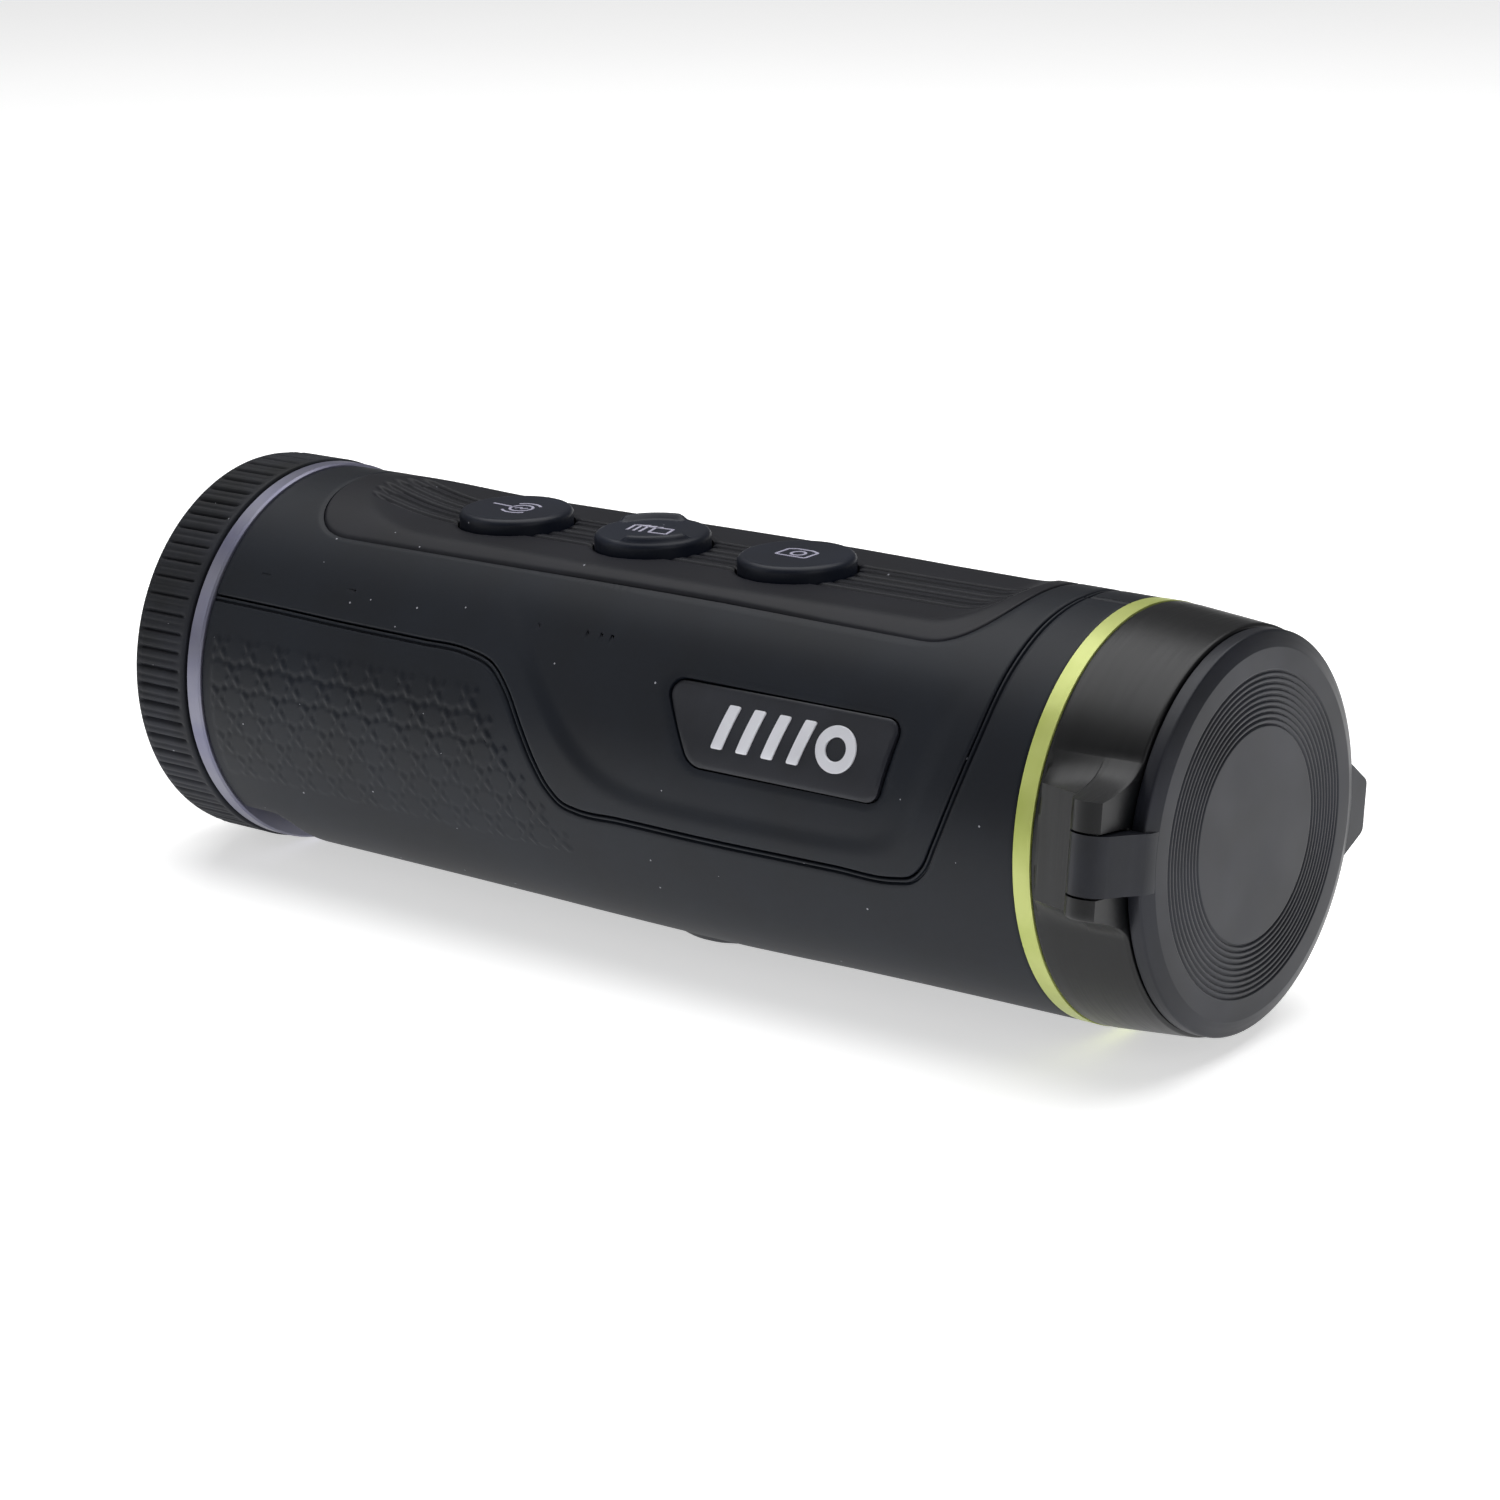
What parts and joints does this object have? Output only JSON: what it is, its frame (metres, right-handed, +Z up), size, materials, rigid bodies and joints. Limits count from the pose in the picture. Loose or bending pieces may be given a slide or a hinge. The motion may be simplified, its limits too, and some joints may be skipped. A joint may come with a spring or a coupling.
{
  "type": "thermal imaging camera",
  "caption": "Hand-held thermal imaging monocular with top keys, ribbed dioptre ring, focus ring and flip-open lens cap.",
  "frame": {"origin": "centre of the mouth of the tripod socket, on the flat pad under the body", "axes": "+X along the optical axis towards the objective, +Z up through the keys"},
  "size_m": [0.1884, 0.0677, 0.0604],
  "materials": {
    "soft_touch": "soft-touch, fine matt grain",
    "keypad_rubber": "moulded silicone, satin",
    "rib_rubber": "moulded ribs, matt",
    "eyecup_rubber": "soft moulded rubber",
    "black_anodised": "black anodised, satin",
    "lime_anodised": "lime anodised, satin",
    "grey_anodised": "blue-grey anodised, satin",
    "core_plastic": "glass-filled nylon",
    "badge_plastic": "fine texture",
    "mark_silver": "silver-grey print",
    "circuit_board": "solder mask",
    "steel": "plain",
    "brass": "turned",
    "germanium": "polished, anti-reflection coated",
    "optical_glass": "coated",
    "display_black": "glass-fronted",
    "battery_wrap": "shrink sleeve"
  },
  "bodies": {
    "housing": {"upper_cover": "soft_touch", "lower_grip": "soft_touch", "core_tube": "core_plastic", "key_panel": "keypad_rubber", "key_board": "circuit_board", "dome_switches": "steel", "badge_plate": "badge_plastic", "badge_mark": "mark_silver", "accent_ring": "lime_anodised", "nose_seal": "eyecup_rubber", "lens_barrel": "black_anodised", "shutter_plate": "black_anodised", "detector": "display_black", "detector_window": "germanium", "sensor_board": "circuit_board", "main_board": "circuit_board", "board_screws": "steel", "shield_can": "steel", "battery_cell": "battery_wrap", "battery_cradle": "core_plastic", "port_board": "circuit_board", "port_socket": "steel", "tripod_insert": "brass", "strap_pin": "steel", "rear_ring": "grey_anodised", "rear_screws": "steel", "flange_seal": "eyecup_rubber", "eye_tube": "black_anodised", "display_holder": "core_plastic", "display_module": "display_black"},
    "zoom_key": {"zoom_key": "keypad_rubber"},
    "palette_key": {"palette_key": "keypad_rubber"},
    "capture_key": {"capture_key": "keypad_rubber"},
    "focus_ring": {"focus_ring": "black_anodised", "circlip": "steel", "hinge_pin": "steel"},
    "focus_cell": {"focus_cell": "black_anodised", "front_lens": "germanium", "rear_lens": "germanium", "lens_retainer": "black_anodised"},
    "lens_cap": {"lens_cap": "black_anodised", "cap_liner": "eyecup_rubber"},
    "diopter": {"diopter_core": "core_plastic", "diopter_grip": "rib_rubber", "eyecup": "eyecup_rubber"},
    "eye_cell": {"eye_cell": "black_anodised", "eye_outer_lens": "optical_glass", "eye_inner_lens": "optical_glass", "eye_retainers": "black_anodised"},
    "shutter": {"shutter_blade": "steel"},
    "port_cover": {"port_cover": "eyecup_rubber"}
  },
  "joints": [
    {"name": "zoom_key_press", "type": "slide", "parent": "housing", "child": "zoom_key", "axis": [0, 0, -1], "range_m": [0, 0.0006], "stiffness_N_per_m": 2500},
    {"name": "palette_key_press", "type": "slide", "parent": "housing", "child": "palette_key", "axis": [0, 0, -1], "range_m": [0, 0.0006], "stiffness_N_per_m": 2500},
    {"name": "capture_key_press", "type": "slide", "parent": "housing", "child": "capture_key", "axis": [0, 0, -1], "range_m": [0, 0.0006], "stiffness_N_per_m": 2500},
    {"name": "focus_turn", "type": "hinge", "parent": "housing", "child": "focus_ring", "pos_m": [0.07, 0, 0.0299], "axis": [1, 0, 0], "range_deg": [-60, 60]},
    {"name": "focus_slide", "type": "slide", "parent": "housing", "child": "focus_cell", "axis": [1, 0, 0], "range_m": [-0.0015, 0.0015]},
    {"name": "cap_flip", "type": "hinge", "parent": "focus_ring", "child": "lens_cap", "pos_m": [0.0814, -0.03169, 0.03435], "axis": [0, -0.1392, -0.9903], "range_deg": [0, 200]},
    {"name": "diopter_turn", "type": "hinge", "parent": "housing", "child": "diopter", "pos_m": [-0.089, 0, 0.0299], "axis": [1, 0, 0], "range_deg": [-60, 60]},
    {"name": "diopter_slide", "type": "slide", "parent": "housing", "child": "eye_cell", "axis": [1, 0, 0], "range_m": [-0.0018, 0.0018]},
    {"name": "shutter_swing", "type": "hinge", "parent": "housing", "child": "shutter", "pos_m": [0.0302, 0, 0.0164], "axis": [-1, 0, 0], "range_deg": [0, 70]},
    {"name": "port_swing", "type": "hinge", "parent": "housing", "child": "port_cover", "pos_m": [-0.0604, 0, 0.00147], "axis": [0, 1, 0], "range_deg": [0, 90]}
  ],
  "couplings": [
    {"joint": "focus_slide", "follows": "focus_turn", "m_per_rad": 0.00143},
    {"joint": "diopter_slide", "follows": "diopter_turn", "m_per_rad": 0.00171}
  ]
}
